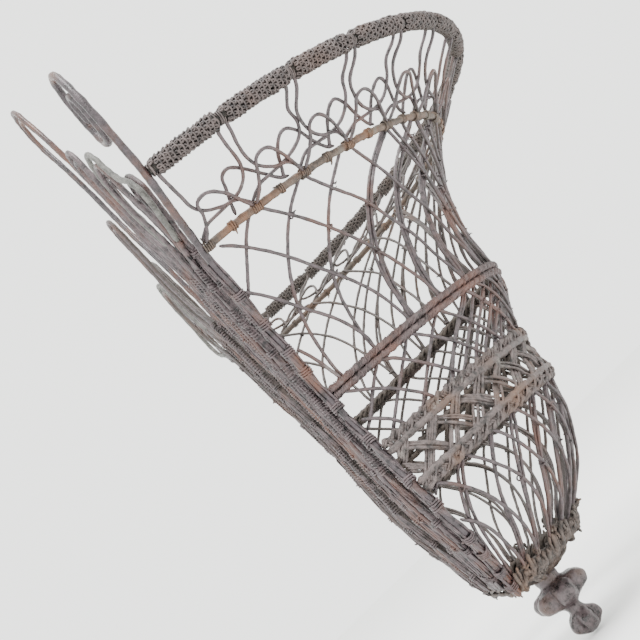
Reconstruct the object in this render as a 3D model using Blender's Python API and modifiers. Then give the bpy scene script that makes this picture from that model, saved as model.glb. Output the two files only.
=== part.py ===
"""Half-round wirework wall basket: flared rim, narrow waist, round bowl, looped back and a cast finial.

Metres, +Z up, front towards -Y. The origin is the hanging point under the crown of the tall back arch,
and the plane y = 0 is the wall: that crown touches it, and the back leans away from it towards the foot.
"""

from math import atan2, cos, pi, radians, sin

import bmesh
import bpy
import numpy as np
from mathutils import Vector

# Driving dimensions
RIM_DROP = 0.206  # hanging point down to the plane of the rim
RAIL_RADIUS = 0.0024
ARCH_RADIUS = 0.0019
WIRE_RADIUS = 0.0011
NECK_RADIUS = 0.0025
WAIST_RADIUS = 0.0023
BAND_HOOP_RADIUS = 0.0033
FOOT_HOOP_RADIUS = 0.0044
CORE_RADIUS = 0.0020
SLEEVE_RADIUS = 0.0055
GAP = 0.0003  # clearance between neighbouring pieces

# Basket outline at the rim and below it: height, half width, depth, and how far from the wall its back is
OUTLINE = (
    (0.000, 0.204, 0.277, 0.0180),
    (-0.038, 0.153, 0.221, 0.0190),
    (-0.070, 0.131, 0.194, 0.0195),
    (-0.110, 0.113, 0.176, 0.0200),
    (-0.149, 0.100, 0.170, 0.0205),
    (-0.198, 0.104, 0.146, 0.0205),
    (-0.230, 0.108, 0.140, 0.0210),
    (-0.262, 0.101, 0.124, 0.0240),
    (-0.292, 0.076, 0.098, 0.0275),
    (-0.316, 0.048, 0.067, 0.0300),
)
RIM_Z, NECK_Z, WAIST_Z, BAND_TOP_Z, BAND_FOOT_Z, FOOT_Z = 0.0, -0.038, -0.149, -0.198, -0.230, -0.316

# Lean of the back: height and distance from the wall of the rearmost arch wires
LEAN = (
    (0.208, -0.0022),
    (0.110, 0.0050),
    (0.040, 0.0070),
    (0.000, 0.0090),
    (-0.050, 0.0110),
    (-0.100, 0.0125),
    (-0.149, 0.0138),
    (-0.230, 0.0140),
    (-0.262, 0.0173),
    (-0.292, 0.0210),
    (-0.316, 0.0234),
)

SLEEVE_COUNT = 6
BAY_COUNT = 7  # bays of the lattice round the half circle
LATTICE_SWEEP = 0.43  # share of the half circle that one lattice wire crosses on its way down
EDGE_SHARE = 0.025  # wires stop this far short of the hoop ends, beside the rails
SCALLOP_HEIGHT = 0.024
FINIAL_Y = -0.0565
PLAIT_DROP = 0.0125

# Back arches: name, leg positions as shares of the half width, crown height above the rim, rear layer or not
ARCHES = (
    ("back_arch_centre", -0.13, 0.13, 0.208, False),
    ("back_arch_1_left", -0.41, -0.23, 0.113, True),
    ("back_arch_1_right", 0.23, 0.41, 0.113, True),
    ("back_arch_2_left", -0.56, -0.33, 0.070, False),
    ("back_arch_2_right", 0.33, 0.56, 0.070, False),
    ("back_arch_3_left", -0.78, -0.51, 0.070, True),
    ("back_arch_3_right", 0.51, 0.78, 0.070, True),
    ("back_arch_4_left", -0.88, -0.66, 0.036, False),
    ("back_arch_4_right", 0.66, 0.88, 0.036, False),
)

GREY_RUST = (0.20, 0.145, 0.120)
ORANGE_RUST = (0.36, 0.175, 0.085)
RED_RUST = (0.29, 0.145, 0.100)
DARK_RUST = (0.115, 0.090, 0.065)


def clear_scene():
    for obj in list(bpy.data.objects):
        bpy.data.objects.remove(obj)


def rusted(name, colour, roughness=0.85, metallic=0.3):
    material = bpy.data.materials.new(name)
    material.use_nodes = True
    shader = material.node_tree.nodes["Principled BSDF"]
    shader.inputs["Base Color"].default_value = (*colour, 1.0)
    shader.inputs["Roughness"].default_value = roughness
    shader.inputs["Metallic"].default_value = metallic
    return material


def outline_at(z):
    """Half width, depth and distance from the wall at a height below the rim, on a curve through OUTLINE."""
    rows = np.array(OUTLINE)[::-1]
    heights = rows[:, 0]
    slopes = np.gradient(rows[:, 1:], heights, axis=0)
    i = int(np.clip(np.searchsorted(heights, z) - 1, 0, len(heights) - 2))
    span = heights[i + 1] - heights[i]
    t = (z - heights[i]) / span
    start, end = rows[i, 1:], rows[i + 1, 1:]
    blend = t * t * (3 - 2 * t)
    bow = span * (t * (1 - t) ** 2 * slopes[i] - t * t * (1 - t) * slopes[i + 1])
    return start + (end - start) * blend + bow


def basket_point(share, z, lift=0.0):
    """A point on the basket: share 0 is the left end of a hoop and 1 the right, lift is out along the normal."""
    angle = pi * (1 - share)
    width, depth, setback = outline_at(z)
    step = 0.001
    grown = (outline_at(z + step) - outline_at(z - step)) / (2 * step)
    across = Vector((cos(angle) / width, -sin(angle) / depth, 0.0)).normalized()
    slope = grown[0] * cos(angle) ** 2 + grown[1] * sin(angle) ** 2
    normal = Vector((across.x, across.y, -slope)).normalized()
    place = Vector((width * cos(angle), -depth * sin(angle) - setback, z - RIM_DROP))
    return place + normal * lift


def link(name, data, material):
    obj = bpy.data.objects.new(name, data)
    data.materials.append(material)
    collection.objects.link(obj)
    return obj


def wire(name, points, radius, material):
    """A round wire bent through the points, with closed ends."""
    curve = bpy.data.curves.new(name, "CURVE")
    curve.dimensions = "3D"
    curve.twist_mode = "MINIMUM"
    curve.bevel_depth = radius
    curve.bevel_resolution = 1
    curve.use_fill_caps = True
    spline = curve.splines.new("POLY")
    spline.points.add(len(points) - 1)
    for target, point in zip(spline.points, points):
        target.co = (*point, 1.0)
    return link(name, curve, material)


def swept(name, points, corners, material):
    """A straight-sided bar swept through (place, normal) pairs; corners are (across, along the normal) offsets."""
    mesh = bmesh.new()
    rings = []
    for i, (place, normal) in enumerate(points):
        before, after = points[max(i - 1, 0)][0], points[min(i + 1, len(points) - 1)][0]
        side = (after - before).cross(normal).normalized()
        rings.append([mesh.verts.new(place + side * a + normal * b) for a, b in corners])
    sides = len(corners)
    for first, second in zip(rings, rings[1:]):
        for k in range(sides):
            after = (k + 1) % sides
            mesh.faces.new((first[k], first[after], second[after], second[k]))
    mesh.faces.new(rings[0])
    mesh.faces.new(rings[-1][::-1])
    bmesh.ops.recalc_face_normals(mesh, faces=mesh.faces)
    data = bpy.data.meshes.new(name)
    mesh.to_mesh(data)
    mesh.free()
    return link(name, data, material)


def turned(name, profile, place, material, steps=20):
    """A solid of revolution about its own Z, from (radius, height) pairs listed top to bottom."""
    data = bpy.data.meshes.new(name)
    verts = [(radius, 0.0, height) for radius, height in profile]
    data.from_pydata(verts, [(i, i + 1) for i in range(len(verts) - 1)], [])
    obj = link(name, data, material)
    obj.location = place
    screw = obj.modifiers.new("Turn", "SCREW")
    screw.axis = "Z"
    screw.angle = 2 * pi
    screw.steps = screw.render_steps = steps
    screw.use_merge_vertices = True
    screw.merge_threshold = 0.00005
    screw.use_smooth_shade = True
    return obj


def hoop_points(z, lift=0.0, start=0.0, end=1.0, count=22):
    return [basket_point(start + (end - start) * i / count, z, lift) for i in range(count + 1)]


def panel_x(share, z):
    """Sideways place on the back, where share runs from -1 on the left rail to 1 on the right one."""
    return share * outline_at(max(min(z, RIM_Z), FOOT_Z))[0]


def lean_at(z):
    heights = [height for height, _ in LEAN][::-1]
    return -float(np.interp(z, heights, [distance for _, distance in LEAN][::-1]))


def rail_path(side):
    """One back rail from the foot up to the rim, then the crook that ends it in an open scroll."""
    behind = RAIL_RADIUS + GAP  # the rail stands just behind the ends of the hoops
    corners = [(row[0], row[3]) for row in OUTLINE[::-1]]
    stations = [(FOOT_Z - 0.006, corners[0][1])]
    for (z, setback), (next_z, next_setback) in zip(corners, corners[1:]):
        stations += [(z, setback), ((z + next_z) / 2, (setback + next_setback) / 2)]
    stations += [(RIM_Z, corners[-1][1])]
    points = [Vector((panel_x(side, z), behind - setback, z - RIM_DROP)) for z, setback in stations]
    crook = (
        (0.208, 0.012),
        (0.214, 0.030),
        (0.218, 0.048),
        (0.217, 0.066),
        (0.210, 0.081),
        (0.197, 0.089),
        (0.184, 0.087),
        (0.175, 0.077),
        (0.171, 0.063),
        (0.173, 0.050),
        (0.180, 0.042),
    )
    return points + [Vector((side * x, points[-1].y, z - RIM_DROP)) for x, z in crook]


def arch_path(left, right, crown, ahead, sway):
    """Up one leg, over the crown and down the other; the legs sway so that neighbours cross."""
    foot, shoulder = FOOT_Z + 0.004, crown - 0.5 * (right - left) * OUTLINE[0][1]

    def place(x, z):
        return Vector((x, lean_at(z) - ahead, z - RIM_DROP))

    def leg(share):
        heights = np.linspace(foot, shoulder, 17)
        return [place(panel_x(share + sway * sin(16.0 * (z - foot) * pi), z), z) for z in heights]

    left_leg, right_leg = leg(left), leg(right)
    middle = (left_leg[-1].x + right_leg[-1].x) / 2
    reach = (right_leg[-1].x - left_leg[-1].x) / 2
    turn = [radians(a) for a in (155, 130, 110, 90, 70, 50, 25)]
    over = [place(middle + reach * cos(a), shoulder + (crown - shoulder) * sin(a)) for a in turn]
    return left_leg + over + right_leg[::-1]


def add_back(grey):
    turns = [2 * pi * (k + 0.5) / 8 for k in range(8)]
    octagon = [(RAIL_RADIUS * cos(a), RAIL_RADIUS * sin(a)) for a in turns]
    for name, side in (("left_rail", -1), ("right_rail", 1)):
        swept(name, [(place, Vector((0, 1, 0))) for place in rail_path(side)], octagon, grey)
    layer = 2 * ARCH_RADIUS + GAP
    for name, left, right, crown, rear in ARCHES:
        sway = -0.03 if rear else 0.03
        wire(name, arch_path(left, right, crown, 0.0 if rear else layer, sway), ARCH_RADIUS, grey)


def sleeve(name, start, end, material):
    """One length of the knitted rim sleeve: a tube round the rim core."""
    sides, count = 8, 5
    mesh = bmesh.new()
    loops = []
    for radius in (SLEEVE_RADIUS, CORE_RADIUS + GAP):
        rings = []
        for i in range(count + 1):
            share = start + (end - start) * i / count
            centre = basket_point(share, RIM_Z)
            ahead = basket_point(share + 0.002, RIM_Z) - basket_point(share - 0.002, RIM_Z)
            out = ahead.cross(Vector((0, 0, 1))).normalized()
            turns = [2 * pi * (k + 0.5) / sides for k in range(sides)]
            places = [centre + radius * (out * cos(a) + Vector((0, 0, sin(a)))) for a in turns]
            rings.append([mesh.verts.new(place) for place in places])
        loops.append(rings)
    outer, inner = loops
    for k in range(sides):
        after = (k + 1) % sides
        for rings in loops:
            for first, second in zip(rings, rings[1:]):
                mesh.faces.new((first[k], first[after], second[after], second[k]))
        for end_index in (0, -1):
            far, near = outer[end_index], inner[end_index]
            mesh.faces.new((far[k], far[after], near[after], near[k]))
    bmesh.ops.recalc_face_normals(mesh, faces=mesh.faces)
    data = bpy.data.meshes.new(name)
    mesh.to_mesh(data)
    mesh.free()
    return link(name, data, material)


def add_rim(grey, dark):
    wire("rim_core", hoop_points(RIM_Z, count=30), CORE_RADIUS, dark)
    pause = 0.004  # bare core showing between two lengths of sleeve
    for i in range(SLEEVE_COUNT):
        start, end = i / SLEEVE_COUNT, (i + 1) / SLEEVE_COUNT
        sleeve(f"rim_sleeve_{i + 1}", start + pause, end - pause, grey)


def add_hoops(grey, orange, red):
    wire("neck_ring", hoop_points(NECK_Z), NECK_RADIUS, orange)
    spread = WAIST_RADIUS + GAP / 2
    wire("waist_hoop_upper", hoop_points(WAIST_Z + spread), WAIST_RADIUS, red)
    wire("waist_hoop_lower", hoop_points(WAIST_Z - spread), WAIST_RADIUS, red)
    wire("band_hoop_upper", hoop_points(BAND_TOP_Z), BAND_HOOP_RADIUS, grey)
    wire("band_hoop_lower", hoop_points(BAND_FOOT_Z), BAND_HOOP_RADIUS, grey)
    wire("foot_hoop", hoop_points(FOOT_Z), FOOT_HOOP_RADIUS, grey)


def add_gallery(grey):
    """Hairpins hung from the rim, one leg to each side, and two scalloped wires standing on the neck ring."""
    top, foot = RIM_Z - 0.0070, NECK_Z + 0.0050
    legs = 8
    for i in range(SLEEVE_COUNT):
        centre = (i + 0.5) / SLEEVE_COUNT
        points = []
        for step in range(-legs, legs + 1):
            fall = abs(step) / legs
            share = centre + 0.62 / SLEEVE_COUNT * (step / legs) * (1.15 - 0.15 * fall)
            share = min(max(share, EDGE_SHARE), 1 - EDGE_SHARE)
            lift = 0.0017 * (1 if step > 0 else -1) * min(1.0, 4 * fall)
            points.append(basket_point(share, top + (foot - top) * fall, lift))
        wire(f"gallery_hairpin_{i + 1}", points, WIRE_RADIUS, grey)
    for name, shift, lift in (("scallop_outer", 0.0, 0.0045), ("scallop_inner", 0.5, -0.0045)):
        count = 48
        points = []
        for i in range(count + 1):
            share = 0.03 + 0.94 * i / count
            rise = abs(sin(pi * (share * BAY_COUNT + shift)))
            points.append(basket_point(share, NECK_Z + 0.006 + SCALLOP_HEIGHT * 0.8 * rise, lift))
        wire(name, points, WIRE_RADIUS, grey)


def lattice_path(at_top, way, lift):
    """One wire from the neck ring down to the foot, cut short where it meets a rail."""
    top, foot = NECK_Z + 0.003, FOOT_Z + 0.010
    steps = 60
    points = []
    for step in range(steps + 1):
        fall = step / steps
        share = at_top + way * LATTICE_SWEEP * fall ** 0.9
        if EDGE_SHARE <= share <= 1 - EDGE_SHARE:
            points.append(basket_point(share, top + (foot - top) * fall, lift))
    return points[::4] + [points[-1]]


def add_lattice(grey):
    """Two crossed families of long wires inside the hoops; those near a side start or end at its rail."""
    first_lift = -(BAND_HOOP_RADIUS + WIRE_RADIUS + GAP)
    second_lift = first_lift - 2 * WIRE_RADIUS - GAP
    for i in range(BAY_COUNT + 3):
        at_top = (i - 2.5) / BAY_COUNT
        wire(f"lattice_right_{i + 1}", lattice_path(at_top, 1, first_lift), WIRE_RADIUS, grey)
        wire(f"lattice_left_{i + 1}", lattice_path(1 - at_top, -1, second_lift), WIRE_RADIUS, grey)


def add_band(grey):
    """Two flat zigzag strips between the band hoops, one in front of the other."""
    margin = BAND_HOOP_RADIUS + 0.0028
    top, foot = BAND_TOP_Z - margin, BAND_FOOT_Z + margin
    turns = 16
    strip = [(a * 0.0017, b * 0.0005) for a, b in ((-1, -1), (1, -1), (1, 1), (-1, 1))]
    for name, flip, lift in (("band_weave_outer", 0, 0.0010), ("band_weave_inner", 1, -0.0007)):
        points = []
        for i in range(turns * 2 + 1):
            share = 0.02 + 0.96 * i / (turns * 2)
            z = (top, (top + foot) / 2, foot, (top + foot) / 2)[(i + 2 * flip) % 4]
            place = basket_point(share, z, lift)
            normal = (basket_point(share, z, lift + 0.001) - place).normalized()
            points.append((place, normal))
        swept(name, points, strip, grey)


def add_ties(orange):
    """A collar of binding wire round each end of the neck ring and of the upper band hoop."""
    hoops = (
        ("neck", NECK_Z, NECK_RADIUS),
        ("band", BAND_TOP_Z, BAND_HOOP_RADIUS),
    )
    for label, z, radius in hoops:
        for side, share in (("left", 0.012), ("right", 0.988)):
            place = basket_point(share, z)
            ahead = basket_point(share + 0.004, z) - basket_point(share - 0.004, z)
            bpy.ops.mesh.primitive_torus_add(
                major_segments=10,
                minor_segments=5,
                major_radius=radius + WIRE_RADIUS + GAP * 2,
                minor_radius=WIRE_RADIUS,
                location=place,
                rotation=(pi / 2, 0.0, atan2(ahead.y, ahead.x) + pi / 2),
            )
            tie = bpy.context.object
            tie.name = f"tie_{label}_{side}"
            tie.data.materials.append(orange)
            for owner in tie.users_collection:
                owner.objects.unlink(tie)
            collection.objects.link(tie)


def add_foot(dark, red):
    """The plaited closing piece under the foot hoop, and the cast finial below it."""
    mesh = bmesh.new()
    top_z = FOOT_Z - FOOT_HOOP_RADIUS - GAP - RIM_DROP
    width, depth, setback = outline_at(FOOT_Z)
    rings = []
    for scale, drop, shift in ((0.82, 0.0, 0.0), (0.80, 0.005, -0.001), (0.40, PLAIT_DROP, -0.017)):
        turns = [pi * k / 14 for k in range(15)]
        places = [
            Vector((width * scale * cos(a), -depth * scale * sin(a) - setback + shift, top_z - drop))
            for a in turns
        ]
        rings.append([mesh.verts.new(place) for place in places])
    for first, second in zip(rings, rings[1:]):
        for k in range(15):
            after = (k + 1) % 15
            mesh.faces.new((first[k], first[after], second[after], second[k]))
    mesh.faces.new(rings[0])
    mesh.faces.new(rings[-1][::-1])
    bmesh.ops.recalc_face_normals(mesh, faces=mesh.faces)
    data = bpy.data.meshes.new("foot_plait")
    mesh.to_mesh(data)
    mesh.free()
    link("foot_plait", data, dark)

    profile = (
        (0.0, 0.000),
        (0.0100, 0.000),
        (0.0110, -0.0020),
        (0.0180, -0.0045),
        (0.0218, -0.0090),
        (0.0218, -0.0125),
        (0.0180, -0.0165),
        (0.0100, -0.0195),
        (0.0070, -0.0230),
        (0.0070, -0.0265),
        (0.0100, -0.0295),
        (0.0118, -0.0340),
        (0.0112, -0.0385),
        (0.0075, -0.0430),
        (0.0, -0.0450),
    )
    turned("finial", profile, (0.0, FINIAL_Y, top_z - PLAIT_DROP - GAP), red)


clear_scene()
collection = bpy.data.collections.new("wall_basket")
bpy.context.scene.collection.children.link(collection)
grey_rust = rusted("grey_rust", GREY_RUST)
orange_rust = rusted("orange_rust", ORANGE_RUST)
red_rust = rusted("red_rust", RED_RUST)
dark_rust = rusted("dark_rust", DARK_RUST)
add_back(grey_rust)
add_rim(grey_rust, dark_rust)
add_hoops(grey_rust, orange_rust, red_rust)
add_gallery(grey_rust)
add_lattice(grey_rust)
add_band(grey_rust)
add_ties(orange_rust)
add_foot(dark_rust, red_rust)
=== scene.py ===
"""Looks of a rusty half-round wirework wall basket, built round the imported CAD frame.

Metres in the row frame: +Z up, front towards -Y, the wall is y = 0 and the origin is the hanging point.
Heights on the basket are measured from the plane of its rim, and a "bay" is one space between two ties
round a hoop, counted from the left rail.
"""

from math import cos, pi
from typing import NamedTuple

import bpy
import numpy as np
from mathutils import Matrix, Vector

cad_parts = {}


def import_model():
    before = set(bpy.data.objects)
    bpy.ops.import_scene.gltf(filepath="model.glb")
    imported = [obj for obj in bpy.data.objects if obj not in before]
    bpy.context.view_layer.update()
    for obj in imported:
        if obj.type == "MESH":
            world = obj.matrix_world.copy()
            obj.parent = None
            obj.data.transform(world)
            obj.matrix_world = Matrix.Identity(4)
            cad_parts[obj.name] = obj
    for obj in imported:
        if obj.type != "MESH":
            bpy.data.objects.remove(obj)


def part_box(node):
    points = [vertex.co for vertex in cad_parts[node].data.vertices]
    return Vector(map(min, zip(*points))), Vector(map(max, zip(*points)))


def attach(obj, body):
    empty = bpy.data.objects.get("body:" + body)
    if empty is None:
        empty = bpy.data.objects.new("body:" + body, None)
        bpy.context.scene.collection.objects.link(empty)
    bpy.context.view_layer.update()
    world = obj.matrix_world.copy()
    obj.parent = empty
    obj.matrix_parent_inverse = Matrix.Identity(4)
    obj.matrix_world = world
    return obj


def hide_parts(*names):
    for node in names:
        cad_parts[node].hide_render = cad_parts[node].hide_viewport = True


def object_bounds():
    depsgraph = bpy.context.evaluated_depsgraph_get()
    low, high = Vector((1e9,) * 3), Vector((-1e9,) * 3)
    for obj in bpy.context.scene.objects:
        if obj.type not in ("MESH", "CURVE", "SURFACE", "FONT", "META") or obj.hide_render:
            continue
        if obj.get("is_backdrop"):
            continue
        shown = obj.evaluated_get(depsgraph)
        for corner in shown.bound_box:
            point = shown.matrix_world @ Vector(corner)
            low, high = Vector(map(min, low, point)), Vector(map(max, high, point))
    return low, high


RIM_DROP = 0.206  # hanging point down to the plane of the rim
OUTLINE = np.array(  # height below the rim, half width, depth, and distance of the back from the wall
    (
        (-0.316, 0.048, 0.067, 0.0300),
        (-0.292, 0.076, 0.098, 0.0275),
        (-0.262, 0.101, 0.124, 0.0240),
        (-0.230, 0.108, 0.140, 0.0210),
        (-0.198, 0.104, 0.146, 0.0205),
        (-0.149, 0.100, 0.170, 0.0205),
        (-0.110, 0.113, 0.176, 0.0200),
        (-0.070, 0.131, 0.194, 0.0195),
        (-0.038, 0.153, 0.221, 0.0190),
        (0.000, 0.204, 0.277, 0.0180),
    )
)
RIM_Z, NECK_Z, WAIST_Z, BAND_TOP_Z, BAND_FOOT_Z, FOOT_Z = 0.0, -0.038, -0.149, -0.198, -0.230, -0.316
LEAN = np.array(  # height, and distance from the wall of the rearmost arch wires
    (
        (-0.316, 0.0234),
        (-0.292, 0.0210),
        (-0.262, 0.0173),
        (-0.230, 0.0140),
        (-0.149, 0.0138),
        (-0.100, 0.0125),
        (-0.050, 0.0110),
        (0.000, 0.0090),
        (0.040, 0.0070),
        (0.110, 0.0050),
        (0.208, -0.0022),
    )
)
BAYS = 15
BAY_EVENNESS = 0.14  # bays are equal along the hoop, which is deeper than it is wide
EDGE = 0.03  # bays that a wire keeps clear of the rails

# Radii
WIRE = 0.00122
ROD = 0.0019
RAIL = 0.0025
TIE_WIRE = 0.0006

TO_WALL = np.array((0.0, 1.0, 0.0))
UP = np.array((0.0, 0.0, 1.0))

rng = np.random.default_rng(20)


# ---------------------------------------------------------------- colours


class Look(NamedTuple):
    """Four colours of old iron, how much of it the warm and pale ones cover, and its roughness."""

    deep: tuple
    main: tuple
    warm: tuple
    pale: tuple
    warm_share: float
    pale_share: float
    roughness: float
    paints_inside_shade: bool = True  # painted shade: the faces that look in towards the middle of the basket are darkened


LOOKS = {
    "wire": Look(
        deep=(0.014, 0.011, 0.012),
        main=(0.060, 0.045, 0.048),
        warm=(0.100, 0.047, 0.035),
        pale=(0.170, 0.156, 0.154),
        warm_share=0.46,
        pale_share=0.40,
        roughness=0.44,
    ),
    "back": Look(
        deep=(0.012, 0.009, 0.010),
        main=(0.070, 0.051, 0.054),
        warm=(0.120, 0.054, 0.038),
        pale=(0.185, 0.168, 0.168),
        warm_share=0.50,
        pale_share=0.36,
        roughness=0.44,
    ),
    "knit": Look(
        deep=(0.016, 0.012, 0.012),
        main=(0.072, 0.056, 0.053),
        warm=(0.102, 0.060, 0.046),
        pale=(0.170, 0.155, 0.146),
        warm_share=0.36,
        pale_share=0.42,
        roughness=0.55,
    ),
    "dark": Look(
        deep=(0.008, 0.007, 0.006),
        main=(0.024, 0.020, 0.017),
        warm=(0.045, 0.029, 0.019),
        pale=(0.080, 0.074, 0.058),
        warm_share=0.30,
        pale_share=0.35,
        roughness=0.75,
    ),
    "neck": Look(
        deep=(0.022, 0.016, 0.012),
        main=(0.084, 0.060, 0.046),
        warm=(0.180, 0.078, 0.035),
        pale=(0.160, 0.150, 0.124),
        warm_share=0.62,
        pale_share=0.52,
        roughness=0.62,
    ),
    "waist": Look(
        deep=(0.020, 0.014, 0.014),
        main=(0.082, 0.059, 0.059),
        warm=(0.135, 0.060, 0.043),
        pale=(0.150, 0.130, 0.127),
        warm_share=0.50,
        pale_share=0.34,
        roughness=0.58,
    ),
    "band": Look(
        deep=(0.017, 0.014, 0.013),
        main=(0.088, 0.069, 0.066),
        warm=(0.132, 0.073, 0.048),
        pale=(0.220, 0.201, 0.175),
        warm_share=0.45,
        pale_share=0.50,
        roughness=0.60,
    ),
    "foot": Look(
        deep=(0.012, 0.009, 0.008),
        main=(0.080, 0.062, 0.054),
        warm=(0.125, 0.072, 0.046),
        pale=(0.215, 0.195, 0.165),
        warm_share=0.42,
        pale_share=0.55,
        roughness=0.68,
    ),
    "weathered": Look(
        deep=(0.034, 0.033, 0.029),
        main=(0.105, 0.102, 0.093),
        warm=(0.120, 0.085, 0.068),
        pale=(0.210, 0.210, 0.190),
        warm_share=0.25,
        pale_share=0.55,
        roughness=0.55,
        paints_inside_shade=False,
    ),
    "scroll": Look(
        deep=(0.009, 0.007, 0.008),
        main=(0.040, 0.030, 0.034),
        warm=(0.110, 0.042, 0.023),
        pale=(0.135, 0.131, 0.142),
        warm_share=0.66,
        pale_share=0.28,
        roughness=0.32,
        paints_inside_shade=False,
    ),
    "cast": Look(
        deep=(0.010, 0.008, 0.008),
        main=(0.072, 0.055, 0.057),
        warm=(0.110, 0.060, 0.042),
        pale=(0.180, 0.160, 0.160),
        warm_share=0.42,
        pale_share=0.40,
        roughness=0.34,
        paints_inside_shade=False,
    ),
}
# Dark brown of the painted shade on the faces that look in towards the middle of the basket
INSIDE_SHADE_COLOUR = (0.034, 0.026, 0.019)
FLOOR_COLOUR = (0.93, 0.93, 0.92, 1.0)
SKY_COLOUR = (0.985, 1.0, 0.975, 1.0)


# ---------------------------------------------------------------- places on the basket


def outline_at(z):
    """Half width, depth and distance from the wall at heights z, on a smooth curve through OUTLINE."""
    heights, sizes = OUTLINE[:, 0], OUTLINE[:, 1:]
    slopes = np.gradient(sizes, heights, axis=0)
    i = np.clip(np.searchsorted(heights, z) - 1, 0, len(heights) - 2)
    span = (heights[i + 1] - heights[i])[..., None]
    t = (z - heights[i])[..., None] / span
    blend = t * t * (3 - 2 * t)
    bow = span * (t * (1 - t) ** 2 * slopes[i] - t * t * (1 - t) * slopes[i + 1])
    return sizes[i] + (sizes[i + 1] - sizes[i]) * blend + bow


def on_basket(bay, z, lift=0.0):
    """Points and outward normals on the basket; lift is out along the normal."""
    bay, z, lift = (np.atleast_1d(a).astype(float) for a in np.broadcast_arrays(bay, z, lift))
    part = bay / BAYS
    angle = pi * (1 - part + BAY_EVENNESS / (2 * pi) * np.sin(2 * pi * part))
    size = outline_at(z)
    step = 0.001
    grown = (outline_at(z + step) - outline_at(z - step)) / (2 * step)
    across = np.stack((np.cos(angle) / size[:, 0], -np.sin(angle) / size[:, 1]), axis=1)
    across /= np.linalg.norm(across, axis=1, keepdims=True)
    slope = grown[:, 0] * np.cos(angle) ** 2 + grown[:, 1] * np.sin(angle) ** 2
    normals = np.column_stack((across, -slope))
    normals /= np.linalg.norm(normals, axis=1, keepdims=True)
    places = np.column_stack(
        (size[:, 0] * np.cos(angle), -size[:, 1] * np.sin(angle) - size[:, 2], z - RIM_DROP)
    )
    return places + normals * lift[:, None], normals


def grit(places, size, seed):
    """A smooth bumpy value of about -1 to 1 over space, with bumps of about the given size."""
    waves = np.random.default_rng(seed)
    count = 9
    turns = waves.normal(size=(3, count)) * (2.4 / size)
    phases = waves.uniform(0, 2 * pi, count)
    return np.sin(places @ turns + phases).sum(axis=1) / 3.0


def smoothed(points, step):
    """Points an even step apart on a smooth curve through the given points."""
    points = np.asarray(points, float)
    ends = np.vstack((2 * points[0] - points[1], points, 2 * points[-1] - points[-2]))
    tangents = (ends[2:] - ends[:-2]) / 2
    t = np.linspace(0, 1, 12, endpoint=False)[:, None]
    pieces = []
    for a, b, m, n in zip(points[:-1], points[1:], tangents[:-1], tangents[1:]):
        rise = t * t * (3 - 2 * t)
        pieces.append(a + (b - a) * rise + m * t * (1 - t) ** 2 - n * t * t * (1 - t))
    pieces.append(points[-1:])
    dense = np.vstack(pieces)
    reach = np.concatenate(([0.0], np.cumsum(np.linalg.norm(np.diff(dense[:, :3], axis=0), axis=1))))
    at = np.linspace(0, reach[-1], max(int(reach[-1] / step), 2) + 1)
    return np.column_stack([np.interp(at, reach, column) for column in dense.T])


# ---------------------------------------------------------------- wires


def tube(points, normals, radius, sides=7, rough=0.10, grain=0.0035):
    """Vertices and faces of one round wire; its radius may vary along it, and rust makes it lumpy."""
    end_taper = 0.55
    tangents = np.gradient(points, axis=0)
    tangents /= np.linalg.norm(tangents, axis=1, keepdims=True)
    side = np.cross(tangents, normals)
    side /= np.linalg.norm(side, axis=1, keepdims=True)
    up = np.cross(side, tangents)
    radii = np.broadcast_to(np.asarray(radius, float), len(points)).copy()
    radii[[0, -1]] *= end_taper
    turns = 2 * pi * np.arange(sides) / sides
    around = np.cos(turns)[None, :, None] * side[:, None] + np.sin(turns)[None, :, None] * up[:, None]
    verts = (points[:, None] + around * radii[:, None, None]).reshape(-1, 3)
    swell = 1 + rough * grit(verts, grain, seed=5)
    centres = np.repeat(points, sides, axis=0)
    verts = centres + (verts - centres) * swell[:, None]
    ring = np.arange(len(points) - 1)[:, None] * sides
    k = np.arange(sides)[None, :]
    after = (k + 1) % sides
    walls = np.stack((ring + k, ring + after, ring + after + sides, ring + k + sides), axis=-1)
    last = (len(points) - 1) * sides
    caps = [tuple(range(sides))[::-1], tuple(range(last, last + sides))]
    return verts, [tuple(f) for f in walls.reshape(-1, 4).tolist()] + caps


def piece(name, parts, material, nodes=()):
    """One object made of several closed parts, riding on the root body."""
    verts, faces, count = [], [], 0
    for part_verts, part_faces in parts:
        verts.append(part_verts)
        faces.extend(tuple(i + count for i in face) for face in part_faces)
        count += len(part_verts)
    data = bpy.data.meshes.new(name)
    data.from_pydata(np.vstack(verts), [], faces)
    data.shade_smooth()
    data.materials.append(material)
    obj = bpy.data.objects.new(name, data)
    bpy.context.scene.collection.objects.link(obj)
    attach(obj, "root")
    if nodes:
        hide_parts(*nodes)


def run(points, lift=0.0, radius=WIRE, wander=0.0006, rough=0.10):
    """A wire through (bay, height) points on the basket, or (bay, height, lift) ones."""
    rows = np.array([(*p, lift) if len(p) == 2 else (p[0], p[1], p[2] + lift) for p in points], float)
    places = on_basket(rows[:, 0], rows[:, 1], rows[:, 2])[0]
    dense = smoothed(np.column_stack((places, rows)), 0.0022)
    seed = int(rng.integers(1 << 30))
    path = dense[:, :3]
    drift = np.column_stack([grit(path, 0.045, seed + k) for k in range(3)]) * wander
    fade = np.minimum(1, np.minimum(np.arange(len(path)), np.arange(len(path))[::-1]) / 4)[:, None]
    normals = on_basket(dense[:, 3], dense[:, 4])[1]
    return tube(path + drift * fade, normals, radius, rough=rough)


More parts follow.
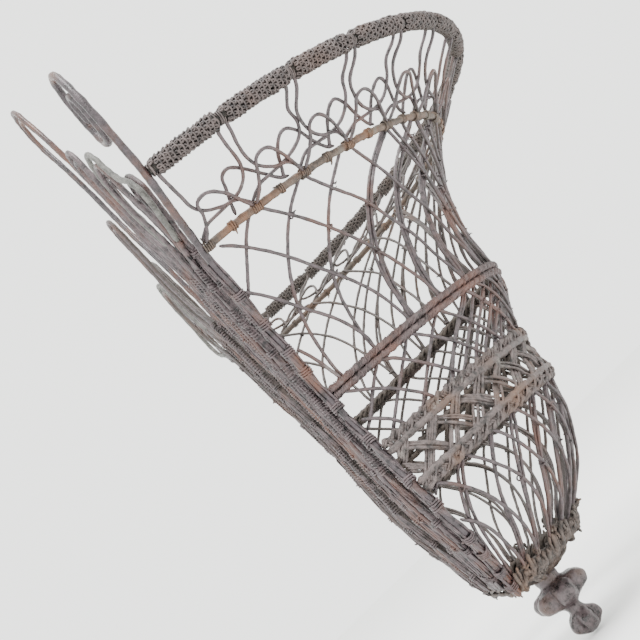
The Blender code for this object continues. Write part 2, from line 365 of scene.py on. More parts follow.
def helix(centres, radius, wire, pitch, sides=5, start=0.0, step=0.5, **surface):
    """Wire wound round a line of points, turn beside turn."""
    spacing = np.linalg.norm(np.diff(centres, axis=0), axis=1)
    reach = np.concatenate(([0.0], np.cumsum(spacing)))
    count = max(int(reach[-1] / pitch * 2 * pi / step), 6)
    at = np.linspace(0, reach[-1], count)
    line = np.column_stack([np.interp(at, reach, column) for column in centres.T])
    tangents = np.gradient(line, axis=0)
    tangents /= np.linalg.norm(tangents, axis=1, keepdims=True)
    side = np.cross(tangents, UP if abs(tangents[0, 2]) < 0.9 else TO_WALL)
    side /= np.linalg.norm(side, axis=1, keepdims=True)
    up = np.cross(side, tangents)
    turn = (start + 2 * pi * at / pitch)[:, None]
    out = np.cos(turn) * side + np.sin(turn) * up
    return tube(line + out * radius, out, wire, sides=sides, **surface)


def binding(centre, along, radius, tail, turns=3, wire=TIE_WIRE):
    """A few turns of tie wire round a point, with one cut end sticking out."""
    along = along / np.linalg.norm(along)
    half = along * wire * turns
    centres = np.linspace(centre - half, centre + half, 8)
    start = float(rng.uniform(0, 2 * pi))
    wound = helix(centres, radius + wire * 0.8, wire, 2 * wire * 1.05, start=start, step=0.6, rough=0.24)
    out = np.cross(along, rng.normal(size=3))
    out /= np.linalg.norm(out)
    lean = out + along * float(rng.uniform(-0.7, 0.7))
    tip = centre + out * radius + lean * tail
    ends = smoothed([centre + out * radius * 0.8, centre + out * (radius + tail * 0.4), tip], 0.0012)
    return [wound, tube(ends, np.broadcast_to(along, ends.shape), wire, sides=5)]


# ---------------------------------------------------------------- materials


def ramp(tree, source, stops):
    node = tree.nodes.new("ShaderNodeValToRGB")
    elements = node.color_ramp.elements
    while len(elements) < len(stops):
        elements.new(0.5)
    for element, (position, colour) in zip(elements, stops):
        element.position = position
        element.color = (*colour, 1.0)
    tree.links.new(source, node.inputs["Fac"])
    return node.outputs["Color"]


def noise(tree, place, scale, detail, roughness=0.6):
    node = tree.nodes.new("ShaderNodeTexNoise")
    node.inputs["Scale"].default_value = scale
    node.inputs["Detail"].default_value = detail
    node.inputs["Roughness"].default_value = roughness
    tree.links.new(place, node.inputs["Vector"])
    return node.outputs["Fac"]


def mixed(tree, factor, first, second):
    """A linked colour with a plain one over it, as strongly as the linked factor says."""
    node = tree.nodes.new("ShaderNodeMix")
    node.data_type = "RGBA"
    tree.links.new(factor, node.inputs["Factor"])
    tree.links.new(first, node.inputs["A"])
    node.inputs["B"].default_value = (*second, 1.0)
    return node.outputs["Result"]


def stretched(tree, value, low, high, to_low=0.0, to_high=1.0):
    node = tree.nodes.new("ShaderNodeMapRange")
    for socket, number in zip(("From Min", "From Max", "To Min", "To Max"), (low, high, to_low, to_high)):
        node.inputs[socket].default_value = number
    tree.links.new(value, node.inputs["Value"])
    return node.outputs["Result"]


def vector_math(tree, operation, first):
    """A vector maths node on one linked vector; its second input is left to the caller."""
    node = tree.nodes.new("ShaderNodeVectorMath")
    node.operation = operation
    tree.links.new(first, node.inputs[0])
    return node


def inner_faces(tree, place):
    """How far a surface looks in towards the middle of the basket, 0 to 1; the mask of the painted shade."""
    from_middle = vector_math(tree, "SUBTRACT", place)
    from_middle.inputs[1].default_value = (0.0, -0.06, 0.0)
    level = vector_math(tree, "MULTIPLY", from_middle.outputs["Vector"])
    level.inputs[1].default_value = (1.0, 1.0, 0.0)
    outward = vector_math(tree, "NORMALIZE", level.outputs["Vector"])
    facing = vector_math(tree, "DOT_PRODUCT", outward.outputs["Vector"])
    tree.links.new(tree.nodes.new("ShaderNodeNewGeometry").outputs["Normal"], facing.inputs[1])
    return stretched(tree, facing.outputs["Value"], 0.15, -0.75)


def rust(name, look):
    """Old iron: dark pits, a main scale colour, patches of fresh rust and a pale bloom of dust and lichen.
    Painted shade darkens the faces that look in.
    """
    material = bpy.data.materials.new(name)
    material.use_nodes = True
    tree = material.node_tree
    shader = tree.nodes["Principled BSDF"]
    place = tree.nodes.new("ShaderNodeTexCoord").outputs["Object"]
    patches = noise(tree, place, scale=24.0, detail=5.0)
    spots = noise(tree, place, scale=210.0, detail=4.0, roughness=0.7)
    grain = noise(tree, place, scale=900.0, detail=3.0, roughness=0.7)
    light = tuple(1.7 * part for part in look.main)
    colour = ramp(tree, spots, ((0.36, look.deep), (0.49, look.main), (0.66, light)))
    spread = 0.25 * look.warm_share
    colour = mixed(tree, stretched(tree, patches, 0.62 - spread, 0.80 - spread), colour, look.warm)
    bloom = noise(tree, place, scale=55.0, detail=6.0, roughness=0.75)
    spread = 0.25 * look.pale_share
    colour = mixed(tree, stretched(tree, bloom, 0.70 - spread, 0.86 - spread), colour, look.pale)
    colour = mixed(tree, stretched(tree, grain, 0.25, 0.7, 0.5, 0.0), colour, look.deep)
    # Painted shade: faces that look in towards the middle of the basket are darkened towards a dark brown, up
    # to 72 percent.
    if look.paints_inside_shade:
        inside_shade_mask = stretched(tree, inner_faces(tree, place), 0.0, 1.0, 0.0, 0.72)
        colour = mixed(tree, inside_shade_mask, colour, INSIDE_SHADE_COLOUR)
    tree.links.new(colour, shader.inputs["Base Color"])
    gloss = stretched(tree, spots, 0.3, 0.75, look.roughness - 0.16, look.roughness + 0.22)
    tree.links.new(gloss, shader.inputs["Roughness"])
    shader.inputs["Metallic"].default_value = 0.15
    add_relief(tree, shader, spots, grain)
    return material


def add_relief(tree, shader, spots, grain):
    """Bumps where the spots and the grain are high."""
    relief = tree.nodes.new("ShaderNodeBump")
    relief.inputs["Strength"].default_value = 0.8
    relief.inputs["Distance"].default_value = 0.00035
    height = tree.nodes.new("ShaderNodeMath")
    height.operation = "ADD"
    tree.links.new(spots, height.inputs[0])
    tree.links.new(grain, height.inputs[1])
    tree.links.new(height.outputs[0], relief.inputs["Height"])
    tree.links.new(relief.outputs["Normal"], shader.inputs["Normal"])


# ---------------------------------------------------------------- rim


RIM_LENGTH = 0.764  # round the curve of the rim
SLEEVE_NODES = 6  # the CAD joins the lengths of sleeve into this many nodes
SLEEVE_GAP = 0.03  # bays left bare at each end of a length of sleeve


def rim_frame(bay):
    """Centre, tangent and outward direction of the rim rod."""
    centre = on_basket(bay, RIM_Z)[0]
    ahead = on_basket(np.asarray(bay) + 0.01, RIM_Z)[0] - on_basket(np.asarray(bay) - 0.01, RIM_Z)[0]
    ahead /= np.linalg.norm(ahead, axis=1, keepdims=True)
    return centre, ahead, np.cross(ahead, UP)


def rim_bay(bay):
    """The gaps in the sleeve run a little ahead of the ties below them towards the front."""
    swing = np.sin(2 * pi * np.asarray(bay, float) / BAYS)
    return bay + 0.2 * swing * np.abs(swing)


def knitted_sleeve(start, end):
    """One length of the sleeve: one fine wire laid in small round loops, row beside row round the rim rod."""
    stitches, row, loop, radius, wire, lean = 9.5, 0.0034, 0.00162, 0.0051, 0.00070, 0.00065
    unevenness = 0.00022
    length = (end - start) * RIM_LENGTH / BAYS
    count = int(length / row * stitches)
    samples = 13
    t = np.arange(count * samples) * 2 * pi / samples
    shake = np.random.default_rng(int(start * 100)).normal(size=(count + 2, 3)) * unevenness
    loose = np.column_stack([np.interp(np.arange(len(t)) / samples, np.arange(len(w)), w) for w in shake.T])
    turn = t / stitches + (loop * np.sin(t) + loose[:, 0]) / radius
    along = (length - 2 * loop) * t / t[-1] + loop * (1 + np.cos(t)) + loose[:, 1]
    centre, _, out = rim_frame(start + (end - start) * along / length)
    radial = np.cos(turn)[:, None] * out + np.sin(turn)[:, None] * UP
    points = centre + radial * (radius + lean * np.cos(t) + loose[:, 2])[:, None]
    return tube(points, radial, wire, sides=5, rough=0.14, grain=0.002)


def add_rim(look):
    """The rim rod, and for each bay a length of sleeve with a collar of plain turns before it."""
    centre, _, out = rim_frame(np.linspace(0, BAYS, 150))
    piece("rim_rod", [tube(centre, out, 0.0034, sides=10)], look["dark"], ["rim_core"])
    for i in range(BAYS):
        start, end = rim_bay(i), rim_bay(i + 1)
        parts = [knitted_sleeve(start + SLEEVE_GAP, end - SLEEVE_GAP)]
        collar = rim_frame(np.linspace(max(start - SLEEVE_GAP, 0.0), start + 0.05, 8))[0]
        parts.append(helix(collar, 0.0040, 0.0007, 0.0014, rough=0.15))
        node = f"rim_sleeve_{i * SLEEVE_NODES // BAYS + 1}"
        piece(f"knitted_sleeve_{i + 1}", parts, look["knit"], [node])


# ---------------------------------------------------------------- hoops


def hoop(z, radius, lift=0.0, **surface):
    places, normals = on_basket(np.linspace(0, BAYS, 160), z, lift)
    return tube(places, normals, radius, **surface)


def hoop_line(z, lift=0.0, count=400):
    return on_basket(np.linspace(0, BAYS, count), z, lift)[0]


def laid_rope(z, radius, strand, pitch, strands=3, lift=0.0, rough=0.1):
    """Strands wound together round a hoop line."""
    centres = hoop_line(z, lift, count=240)
    parts = []
    for k in range(strands):
        start = k * 2 * pi / strands
        parts.append(helix(centres, radius, strand, pitch, sides=7, start=start, step=0.4, rough=rough))
    return parts


def add_neck_ring(look):
    piece("neck_ring_rod", [hoop(NECK_Z, 0.0026, sides=10, rough=0.13)], look["neck"], ["neck_ring"])
    ties = []
    for bay in range(BAYS + 1):
        for at, turns, radius in ((bay + 0.04, 5, 0.0027), (bay + 0.55, 3, 0.0025)):
            if at > BAYS:
                continue
            place = on_basket(at, NECK_Z)[0][0]
            ahead = on_basket(at + 0.05, NECK_Z)[0][0] - place
            ties += binding(place, ahead, radius, tail=0.004, turns=turns, wire=0.0007)
    piece("neck_ring_ties", ties, look["neck"], ["tie_neck_left", "tie_neck_right"])


def add_waist(look):
    """A pair of rods with fine wire wound round both, and a rope of wires inside them."""
    rod_gap = 0.0052
    for edge, way in (("upper", 1), ("lower", -1)):
        z = WAIST_Z + way * rod_gap / 2
        parts = [hoop(z, 0.0023, sides=10, rough=0.16, grain=0.0018)]
        parts.append(helix(hoop_line(z), 0.0022, 0.00045, 0.0015, rough=0.3, grain=0.0025, step=0.8))
        for start in (0, 3):
            parts.append(helix(hoop_line(z, count=200), 0.0024, 0.0006, 0.014, rough=0.3, start=start))
        piece(f"waist_rod_{edge}", parts, look["waist"], [f"waist_hoop_{edge}"])
    inside = laid_rope(WAIST_Z, 0.0019, 0.0015, 0.017, lift=-0.0036, rough=0.35)
    piece("waist_inner_wires", inside, look["foot"])


def add_band_hoops(look):
    """On each edge of the band a bare rod, and beside it a second one under two layers of rope."""
    ties = {"upper": ["tie_band_left", "tie_band_right"], "lower": []}
    for edge, z, inward in (("upper", BAND_TOP_Z, -1), ("lower", BAND_FOOT_Z, 1)):
        parts = [hoop(z + inward * 0.0031, 0.0026, lift=0.0014, sides=10, rough=0.22)]
        parts.append(hoop(z - inward * 0.0022, 0.0022, sides=8, rough=0.2))
        parts += laid_rope(z - inward * 0.0022, 0.0018, 0.0014, 0.0160, strands=2, lift=0.0006, rough=0.42)
        parts += laid_rope(z, 0.0034, 0.0007, 0.0230, strands=2, lift=0.0006, rough=0.4)
        piece(f"band_rope_{edge}", parts, look["band"], [f"band_hoop_{edge}", *ties[edge]])


def add_foot_rope(look):
    parts = laid_rope(FOOT_Z, 0.0026, 0.0021, 0.024, rough=0.30)
    parts += laid_rope(FOOT_Z, 0.0041, 0.0010, 0.013, strands=2, rough=0.35)
    piece("foot_rope", parts, look["foot"], ["foot_hoop"])


# ---------------------------------------------------------------- gallery


LOOP_FOOT_Z = NECK_Z + 0.002  # where gallery wires end on the neck ring


def returning_wire(k, top, shift):
    """From the rim down and back along the loops to the tie before it."""
    points = [
        (top - 0.05, 0.0),
        (top - 0.04, -0.006),
        (k + 0.04, -0.0125),
        (k + 0.11 + shift, -0.0185),
        (k + 0.08 + shift, -0.0240),
        (k - 0.06, -0.0275),
        (k - 0.25, -0.0292),
        (k - 0.52, -0.0302),
        (k - 0.75, -0.0310),
        (k - 0.92, -0.0340),
        (k - 0.98, LOOP_FOOT_Z),
    ]
    return run(points, lift=-0.0013)


def hanging_wire(k, top, shift):
    """From the rim down and on along the loops to the next tie."""
    points = [
        (top + 0.05, 0.0),
        (top + 0.08, -0.006),
        (k + 0.14, -0.0135),
        (k + 0.22 + shift, -0.0200),
        (k + 0.36 + shift, -0.0248),
        (k + 0.56, -0.0280),
        (k + 0.77, -0.0292),
        (k + 0.92, -0.0325),
        (k + 1.02, LOOP_FOOT_Z),
    ]
    return run(points, lift=0.0012)


def loop_at_tie(k, shift):
    """A loop that stands on the neck ring from one tie to the next."""
    points = [
        (k + 0.03, LOOP_FOOT_Z),
        (k + 0.17, -0.0312),
        (k + 0.24, -0.0255),
        (k + 0.28 + shift, -0.0202),
        (k + 0.40 + shift, -0.0184),
        (k + 0.54 + shift, -0.0197),
        (k + 0.69, -0.0242),
        (k + 0.81, -0.0288),
        (k + 0.98, LOOP_FOOT_Z),
    ]
    return run(points, lift=0.0030)


def loop_between_ties(k, shift):
    """A loop that stands on the neck ring across a tie, inside the other loops."""
    points = [
        (k + 0.70, LOOP_FOOT_Z),
        (k + 0.72, -0.0310),
        (k + 0.74, -0.0250),
        (k + 0.79 + shift, -0.0200),
        (k + 0.92 + shift, -0.0186),
        (k + 1.12 + shift, -0.0222),
        (k + 1.38, -0.0290),
        (k + 1.62, -0.0342),
        (k + 1.80, LOOP_FOOT_Z),
    ]
    return run(points, lift=-0.0030)


def add_gallery(look):
    """The open work between the rim and the neck ring: hanging wires and two rounds of standing loops."""
    hanging, returning, at_ties, between = [], [], [], []
    for k in range(BAYS + 1):
        top = float(rim_bay(k))
        shifts = rng.uniform(-0.04, 0.04, 4)
        if k:
            returning.append(returning_wire(k, top, shifts[0]))
        if k < BAYS:
            hanging.append(hanging_wire(k, top, shifts[1]))
            at_ties.append(loop_at_tie(k, shifts[2]))
        if k < BAYS - 1:
            between.append(loop_between_ties(k, shifts[3]))
    piece("gallery_hanging_wires", hanging, look["wire"], [f"gallery_hairpin_{i}" for i in (1, 3, 5)])
    piece("gallery_returning_wires", returning, look["wire"], [f"gallery_hairpin_{i}" for i in (2, 4, 6)])
    piece("gallery_loops_at_ties", at_ties, look["wire"], ["scallop_outer"])
    piece("gallery_loops_between_ties", between, look["wire"], ["scallop_inner"])
    ties = []
    for k in range(BAYS):
        place = on_basket(k + 0.76, -0.0292)[0][0]
        down = on_basket(k + 0.76, -0.0302)[0][0] - place
        ties += binding(place, down, 0.0019, tail=0.0025, turns=1)
    piece("gallery_crossing_ties", ties, look["wire"])


# ---------------------------------------------------------------- lattice


BACK_LIFT = -0.0023  # the wires that run back from their ties lie inside the ones that run to the front
FRONT_TIES = range(4, 11)  # ties across the front, where more of the wires are doubled
LATTICE_NODES = [f"lattice_{way}_{i}" for way in ("right", "left") for i in range(1, 11)]


class Storey(NamedTuple):
    """One storey of the lattice. Pairs are for its front-going wires and its back-going ones."""

    name: str
    top: float
    foot: float
    gains: tuple  # bays that a wire crosses on its way down
    bends: tuple  # how much it steepens on the way
    shift: float  # bays from the ties of the rim to those of this storey
    doubled: dict  # bays from a wire to the ones beside it, by its way and its place
    tied: float  # share of the crossings that have a tie
    nodes: tuple


STOREYS = (
    Storey(
        name="upper",
        top=NECK_Z + 0.001,
        foot=WAIST_Z + 0.003,
        gains=(2.4, 1.55),
        bends=(1.7, 2.3),
        shift=0.0,
        doubled={(1, "front"): (0.055, 0.5), (-1, "front"): (0.055, 0.115)},
        tied=0.4,
        nodes=(LATTICE_NODES[:4], LATTICE_NODES[4:8]),
    ),
    Storey(
        name="middle",
        top=WAIST_Z - 0.003,
        foot=BAND_TOP_Z + 0.003,
        gains=(1.6, 1.8),
        bends=(1.1, 1.0),
        shift=0.2,
        doubled={(1, "front"): (0.06, 0.5), (-1, "front"): (0.06, 0.5)},
        tied=0.2,
        nodes=(LATTICE_NODES[8:11], LATTICE_NODES[11:14]),
    ),
    Storey(
        name="bowl",
        top=BAND_FOOT_Z - 0.003,
        foot=FOOT_Z + 0.003,
        gains=(1.6, 1.2),
        bends=(1.6, 2.6),
        shift=0.3,
        doubled={(-1, "side"): (0.09,), (-1, "front"): (0.06, 0.12)},
        tied=0.25,
        nodes=(LATTICE_NODES[14:17], LATTICE_NODES[17:20]),
    ),
)


def sweep(start, gain, bend, falls):
    """Bays of a wire that leaves its tie slantwise and steepens as it goes down."""
    return start + gain * (1 - (1 - falls) ** bend)


def cut_at_rails(bays, heights):
    """The stretch of a wire between the two rails, on fewer points."""
    rows = [(bay, z) for bay, z in zip(bays, heights) if EDGE <= bay <= BAYS - EDGE]
    return rows[:-1:3] + rows[-1:]


def crossing_ties(forward, backward, heights, share):
    """Ties at some of the places where a front-going wire crosses a back-going one."""
    from_rail = 0.2
    ties = []
    for line in forward:
        for other in backward:
            at = np.flatnonzero(np.diff(np.sign(line - other)))
            if len(at) and from_rail < line[at[0]] < BAYS - from_rail and rng.uniform() < share:
                near = slice(at[0], at[0] + 2)
                places = on_basket(line[near], heights[near], BACK_LIFT / 2)[0]
                along = places[1] - places[0]
                ties += binding(places.mean(axis=0), along, 0.0018, tail=0.0022, turns=1)
    return ties


def tier(storey):
    """The wires of one storey, one each way from every tie and more beside some, and its ties."""
    falls = np.linspace(0, 1, 25)
    heights = storey.top + (storey.foot - storey.top) * falls
    wires, bays = {1: [], -1: []}, {1: [], -1: []}
    for k in range(-4, BAYS + 5):
        for way, gain, bend, lift in zip((1, -1), storey.gains, storey.bends, (0.0, BACK_LIFT)):
            spare = storey.doubled.get((way, "front" if k in FRONT_TIES else "side"), ())
            jog = float(rng.uniform(-0.05, 0.05))
            for offset in (0.0, *spare):
                line = sweep(k + storey.shift + offset + jog, way * gain, bend, falls)
                rows = cut_at_rails(line, heights)
                if len(rows) >= 2:
                    wires[way].append(run(rows, lift=lift, wander=0.0010))
                    bays[way].append(line)
    return wires[1], wires[-1], crossing_ties(bays[1], bays[-1], heights, storey.tied)


def add_lattice(look):
    for storey in STOREYS:
        forward, backward, ties = tier(storey)
        piece(f"{storey.name}_lattice_front_going", forward, look["wire"], storey.nodes[0])
        piece(f"{storey.name}_lattice_back_going", backward, look["wire"], storey.nodes[1])
        piece(f"{storey.name}_lattice_ties", ties, look["wire"])


# ---------------------------------------------------------------- woven band


def add_band(look):
    """Strips of four wires side by side, woven over and under on the slant and bent over the band hoops."""
    top, foot = BAND_TOP_Z + 0.001, BAND_FOOT_Z - 0.001
    pitch, across, apart = 0.88, 1.42, 0.082  # in bays: strip to strip, top to foot, and wire to wire
    weave, bend_out = 0.0012, 0.0030
    for name, way, node in (
        ("band_strips_front_going", 1, "band_weave_outer"),
        ("band_strips_back_going", -1, "band_weave_inner"),
    ):
        parts = []
        for i in range(-2, int(BAYS / pitch) + 3):
            slip = float(rng.uniform(-0.06, 0.06))
            for wire in (-1.5, -0.5, 0.5, 1.5):
                rows = []
                for u in np.linspace(0, 1, 17):
                    bay = i * pitch + slip + way * across * (u - 0.5) + wire * apart
                    if EDGE < bay < BAYS - EDGE:
                        over = weave * way * cos(2 * pi * (u - 0.5) * across / pitch)
                        rows.append((bay, top + (foot - top) * u, over + bend_out * abs(2 * u - 1) ** 5))
                if len(rows) >= 4:
                    parts.append(run(rows, radius=0.00105, rough=0.24))
        piece(name, parts, look["band"], [node])


# ---------------------------------------------------------------- back


class Arch(NamedTuple):
    """One arch of the back. Its legs are at shares of the half width, and its crown is above the rim."""

    node: str
    left: float
    right: float
    crown: float
    rear: bool
    leaning: bool = False  # the outer leg leans out to the rail beside the rim, and the crown is bleached


ARCHES = (
    Arch("back_arch_centre", -0.13, 0.13, 0.208, rear=False),
    Arch("back_arch_1_left", -0.41, -0.23, 0.113, rear=True),
    Arch("back_arch_1_right", 0.23, 0.41, 0.113, rear=True),
    Arch("back_arch_2_left", -0.56, -0.33, 0.070, rear=False),
    Arch("back_arch_2_right", 0.33, 0.56, 0.070, rear=False),
    Arch("back_arch_3_left", -0.78, -0.51, 0.070, rear=True, leaning=True),
    Arch("back_arch_3_right", 0.51, 0.78, 0.070, rear=True, leaning=True),
    Arch("back_arch_4_left", -0.88, -0.66, 0.026, rear=False),
    Arch("back_arch_4_right", 0.66, 0.88, 0.026, rear=False),
)
CROOK = (  # the scroll that ends a rail, as distance from the middle and height above the rim
    (0.204, 0.002),
    (0.208, 0.012),
    (0.214, 0.030),
    (0.218, 0.048),
    (0.217, 0.066),
    (0.210, 0.081),
    (0.197, 0.089),
    (0.184, 0.087),
    (0.175, 0.077),
    (0.171, 0.063),
    (0.173, 0.050),
    (0.182, 0.042),
    (0.193, 0.041),
    (0.201, 0.048),
    (0.204, 0.060),
    (0.201, 0.070),
    (0.193, 0.073),
    (0.187, 0.066),
    (0.187, 0.057),
)
BACK_STEP = 0.0025  # between the points along a rail or an arch
STEM_POINTS = 125  # of a rail, from the foot to just under the rim
LEG_POINTS = 128  # of an arch, from the foot up
CROWN_FROM = 132  # point of a leaning arch where its crown begins


def on_back(share, z, ahead):
    """Points on the leaning back; share runs from -1 on the left rail to 1 on the right one."""
    width = outline_at(np.clip(z, FOOT_Z, RIM_Z))[:, 0]
    lean = np.interp(z, LEAN[:, 0], LEAN[:, 1])
    return np.column_stack((share * width, -lean - ahead, z - RIM_DROP))


def rail_line(side):
    """Up one side of the back and round its scroll."""
    heights = np.linspace(FOOT_Z - 0.006, RIM_Z - 0.004, 30)
    stem = on_back(side, heights, 0.0)
    stem[:, 1] = RAIL + 0.0002 - np.interp(heights, OUTLINE[:, 0], OUTLINE[:, 3])
    crook = np.array([(side * x, stem[-1, 1], z - RIM_DROP) for x, z in CROOK])
    return smoothed(np.vstack((stem, crook)), BACK_STEP)


def arch_line(left, right, crown, rear, leaning=False):
    """Up one leg, over the crown and down the other; the legs sway so that neighbours cross."""
    ahead = 0.0 if rear else 2 * ROD + 0.0003
    sway = -0.03 if rear else 0.03
    foot, shoulder = FOOT_Z + 0.004, crown - 0.5 * (right - left) * OUTLINE[-1, 1]
    heights = np.linspace(foot, shoulder, 24)
    wave = sway * np.sin(16 * (heights - foot) * pi)
    shares = [share + wave for share in (left, right)]
    if leaning:
        reach_out = 0.15 * np.exp(-(((heights - 0.004) / 0.024) ** 2))
        outer = int(right > 0)
        shares[outer] = shares[outer] + (reach_out if outer else -reach_out)
    legs = [on_back(share, heights, ahead) for share in shares]
    middle = (legs[0][-1, 0] + legs[1][-1, 0]) / 2
    reach = (legs[1][-1, 0] - legs[0][-1, 0]) / 2
    turns = np.radians((155, 130, 110, 90, 70, 50, 25))
    over = on_back(0.0, shoulder + (crown - shoulder) * np.sin(turns), ahead)
    over[:, 0] = middle + reach * np.cos(turns)
    return smoothed(np.vstack((legs[0], over, legs[1][::-1])), BACK_STEP)


def rod(line, radius, sides, rough):
    """A wire of the back along a line."""
    return tube(line, np.broadcast_to(TO_WALL, line.shape), radius, sides=sides, rough=rough)


def knots(line, start, spacing, radius, turns=3):
    """Bindings round a wire at uneven distances along it."""
    parts = []
    at = start
    while at < len(line) - 2:
        parts += binding(line[at], line[at + 1] - line[at - 1], radius, tail=0.0025, turns=turns, wire=0.0008)
        at += int(spacing * float(rng.uniform(0.7, 1.3)))
    return parts


def wrapped(line):
    """Thin wires laid along a leg, and short stretches of fine wire wound round it."""
    radius, stretches = 0.0020, 7
    parts = [helix(line, radius, 0.0008, 0.13, sides=6, start=turn, rough=0.2) for turn in (0.4, 2.6, 4.5)]
    for _ in range(stretches):
        first = int(rng.triangular(30, len(line) - 14, len(line) - 12))
        stretch = line[first : first + int(rng.integers(5, 12))]
        parts.append(helix(stretch, radius + 0.0005, 0.0007, 0.0023, rough=0.35, step=0.7))
    return parts


def add_rails(look):
    """Both rails with wires along them; gives the knots on them."""
    knotted = []
    for name, side in (("left_rail", -1), ("right_rail", 1)):
        line = rail_line(side)
        piece(f"{name}_rod", [rod(line, RAIL, sides=12, rough=0.07)], look["scroll"], [name])
        stem = line[:STEM_POINTS]
        strands = []
        for start in (0.5, 2.4, 4.6):
            strands.append(helix(stem, 0.0031, 0.0010, 0.16, sides=6, start=start, rough=0.15))
        piece(f"{name}_side_wires", strands, look["back"])
        knotted += knots(stem, 4, 11, 0.0032, turns=4)
    return knotted


def add_arch(arch, look):
    """An arch, the thinner one nested in it and the wires wound on its legs; gives the knots on them."""
    line = arch_line(arch.left, arch.right, arch.crown, arch.rear, arch.leaning)
    nested = arch_line(arch.left + 0.035, arch.right - 0.035, arch.crown - 0.008, arch.rear)
    lengths = [line[: CROWN_FROM + 1], line[-CROWN_FROM - 1 :]] if arch.leaning else [line]
    rods = [rod(nested, 0.0016, sides=8, rough=0.12)]
    rods += [rod(part, ROD, sides=9, rough=0.09) for part in lengths]
    kind = "scroll" if arch.node == "back_arch_centre" else "back"
    piece(f"{arch.node}_wire", rods, look[kind], [arch.node])
    if arch.leaning:
        crown = rod(line[CROWN_FROM:-CROWN_FROM], ROD, sides=9, rough=0.09)
        piece(f"{arch.node}_crown", [crown], look["weathered"])
    wraps = wrapped(line[:LEG_POINTS]) + wrapped(line[:-LEG_POINTS:-1])
    piece(f"{arch.node}_leg_wires", wraps, look["back"])
    return knots(line[:LEG_POINTS], 6, 15, 0.0022) + knots(line[-LEG_POINTS:], 12, 15, 0.0022)


def add_back(look):
    knotted = add_rails(look)
    for arch in ARCHES:
        knotted += add_arch(arch, look)
    piece("back_knots", knotted, look["back"])


# ---------------------------------------------------------------- foot


FINIAL_PROFILE = (  # radius, and height from where the finial leaves the foot
    (0.0, 0.005),
    (0.0085, 0.005),
    (0.0090, -0.001),
    (0.0120, -0.0030),
    (0.0175, -0.0045),
    (0.0208, -0.0080),
    (0.0212, -0.0120),
    (0.0185, -0.0165),
    (0.0120, -0.0190),
    (0.0068, -0.0220),
    (0.0062, -0.0262),
    (0.0082, -0.0290),
    (0.0108, -0.0330),
    (0.0106, -0.0375),
    (0.0078, -0.0420),
    (0.0030, -0.0445),
    (0.0, -0.0450),
)
FINIAL_NECK = -0.024  # height of the neck between its cushion and its knob


def lobed_ring(radius, height, turns):
    """One level of the finial: shallow lobes round the cushion above its neck, deep ones round the knob."""
    lobes, depth, rise = (6, 0.30, 0.010) if height > FINIAL_NECK else (4, 0.60, 0.0025)
    belly = min(1.0, max(0.0, (radius - 0.0075) / rise))
    swell = 1 + depth * belly * (np.abs(np.cos(turns * lobes / 2)) ** 0.6 - 0.70)
    heights = np.full(len(turns), height)
    return np.column_stack((radius * swell * np.cos(turns), radius * swell * np.sin(turns), heights))


def cast_finial(centre):
    """A squat lobed cushion, a neck and a smaller lobed knob."""
    dense = smoothed(np.column_stack((FINIAL_PROFILE, np.zeros(len(FINIAL_PROFILE)))), 0.0010)[:, :2]
    sides = 96
    turns = 2 * pi * np.arange(sides) / sides
    rings = [lobed_ring(radius, height, turns) for radius, height in dense]
    verts = np.vstack(rings) + centre
    verts += 0.0004 * grit(verts, 0.006, seed=3)[:, None] * np.array((1, 1, 0.5))
    faces = []
    for i in range(len(rings) - 1):
        for k in range(sides):
            after = (k + 1) % sides
            faces.append((i * sides + k, (i + 1) * sides + k, (i + 1) * sides + after, i * sides + after))
    return verts, faces


def closing_wires(collar):
    """Ends of the long wires, hooked over the foot hoop at odd places and gathered in towards the finial."""
    parts = []
    count = 78
    for k in range(count):
        bay = BAYS * (k + 0.5) / count + float(rng.uniform(-0.12, 0.12))
        bay = min(max(bay, 0.05), BAYS - 0.75)
        skew, rise, reach, bulge = rng.uniform((-0.5, 0.002, 0.5, 0.0015), (0.7, 0.012, 0.97, 0.0042))
        over = on_basket(bay, FOOT_Z + rise, 0.0012)[0][0]
        outside = on_basket(bay + skew * 0.3, FOOT_Z + 0.001, bulge)[0][0]
        below = on_basket(bay + skew * 0.6, FOOT_Z - 0.004, bulge - 0.002)[0][0]
        under = on_basket(bay + skew, FOOT_Z - 0.003, -0.004)[0][0] + (0, 0, -0.0035)
        end = under + (collar - under) * reach
        middle = (under + end) / 2 + rng.uniform(-0.0022, 0.0022, 3)
        line = smoothed([over, outside, below, under, middle, end], 0.0018)
        normals = np.broadcast_to((0.02, 0.03, 1.0), line.shape)
        parts.append(tube(line, normals, float(rng.uniform(0.0009, 0.0017)), sides=6, rough=0.3))
    return parts


def foot_knobs():
    """Thick knobs where wire ends are wound back round the foot hoop, and short stubs that stand out."""
    parts = []
    for _ in range(46):
        bay = float(rng.uniform(0.2, BAYS - 0.2))
        rise = float(rng.uniform(-0.004, 0.010))
        lift = float(rng.uniform(-0.002, 0.0028))
        place = on_basket(bay, FOOT_Z + rise, lift)[0][0]
        ahead = on_basket(bay + 0.1, FOOT_Z)[0][0] - on_basket(bay, FOOT_Z)[0][0]
        along = ahead + rng.normal(size=3) * 0.0008
        parts += binding(place, along, 0.0014, tail=0.004, turns=2, wire=0.0010)
    return parts


def foot_lashing():
    """Wires laid across the back of the foot, over the gathered ends of the rails and arches."""
    parts = []
    for k in range(7):
        z = FOOT_Z - 0.004 + 0.0022 * k
        across = np.linspace(-1.0, 1.0, 24)
        width = outline_at(np.full(24, max(z, FOOT_Z)))[:, 0] * 0.98
        y = -0.0285 + 0.0035 * (k % 2) + 0.0012 * np.cos(across * 9 + k)
        heights = np.full(24, z - RIM_DROP) + 0.0008 * np.sin(across * 11 + 2 * k)
        line = np.column_stack((across * width, y, heights))
        parts.append(tube(line, np.broadcast_to((0.0, 0.02, 1.0), line.shape), 0.0015, sides=6, rough=0.22))
    return parts


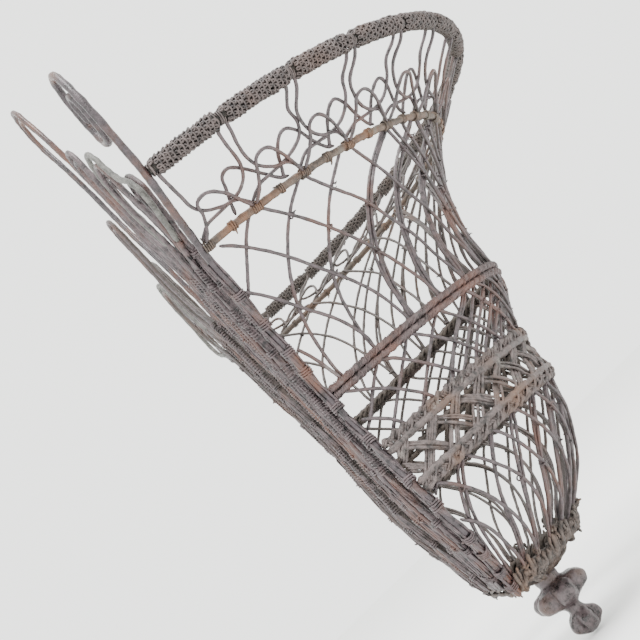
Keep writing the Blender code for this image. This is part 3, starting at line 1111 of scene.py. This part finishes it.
def add_foot(look):
    low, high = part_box("finial")
    centre = np.array(((low.x + high.x) / 2, (low.y + high.y) / 2, high.z))
    piece("cast_finial", [cast_finial(centre)], look["cast"], ["finial"])
    piece("foot_closing_wires", closing_wires(centre + (0, 0, 0.002)), look["foot"], ["foot_plait"])
    piece("foot_knobs", foot_knobs(), look["foot"])
    piece("foot_back_lashing", foot_lashing(), look["foot"])


# ---------------------------------------------------------------- stage


def add_floor(height):
    bpy.ops.mesh.primitive_plane_add(size=12, location=(0, 0, height))
    floor = bpy.context.object
    floor.name = "floor"
    material = bpy.data.materials.new("pale_floor")
    material.use_nodes = True
    shader = material.node_tree.nodes["Principled BSDF"]
    shader.inputs["Base Color"].default_value = FLOOR_COLOUR
    shader.inputs["Roughness"].default_value = 0.9
    floor.data.materials.append(material)
    floor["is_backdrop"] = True


def add_lights():
    """An even pale sky, a key light high on the left, and a weak and wider one low on the left behind."""
    world = bpy.data.worlds.new("studio")
    world.use_nodes = True
    sky = world.node_tree.nodes["Background"]
    sky.inputs["Color"].default_value = SKY_COLOUR
    sky.inputs["Strength"].default_value = 2.65
    bpy.context.scene.world = world

    middle = Vector((0, -0.12, -0.3))
    for name, place, size, power in (
        ("key_light", (-0.9, -0.2, 1.3), 0.7, 62.0),
        ("fill_light", (-1.2, 1.0, 0.2), 1.2, 8.0),
    ):
        light = bpy.data.lights.new(name, "AREA")
        light.size = size
        light.energy = power
        lamp = bpy.data.objects.new(name, light)
        lamp.location = place
        lamp.rotation_euler = (middle - Vector(place)).to_track_quat("-Z", "Y").to_euler()
        bpy.context.scene.collection.objects.link(lamp)


def add_camera():
    """The photograph looks up at the basket from its left, with the rim towards the upper left."""
    right = Vector((0.01606, -0.73558, -0.67725))
    forward = Vector((0.95913, -0.18005, 0.21830)).normalized()
    place = (-0.7165, 0.0669, -0.4536)
    right = (right - forward * right.dot(forward)).normalized()
    up = right.cross(forward)
    data = bpy.data.cameras.new("camera")
    data.lens = 55.42
    data.sensor_width = 36.0
    camera = bpy.data.objects.new("camera", data)
    turn = Matrix((right, up, -forward)).transposed().to_4x4()
    camera.matrix_world = Matrix.Translation(place) @ turn
    bpy.context.scene.collection.objects.link(camera)
    bpy.context.scene.camera = camera


def main():
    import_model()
    cad_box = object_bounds()
    look = {name: rust(f"{name}_rust", values) for name, values in LOOKS.items()}
    add_rim(look)
    add_neck_ring(look)
    add_waist(look)
    add_band_hoops(look)
    add_foot_rope(look)
    add_gallery(look)
    add_lattice(look)
    add_band(look)
    add_back(look)
    add_foot(look)
    add_floor(cad_box[0][2] - 0.001)
    add_lights()
    add_camera()
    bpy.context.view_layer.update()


main()
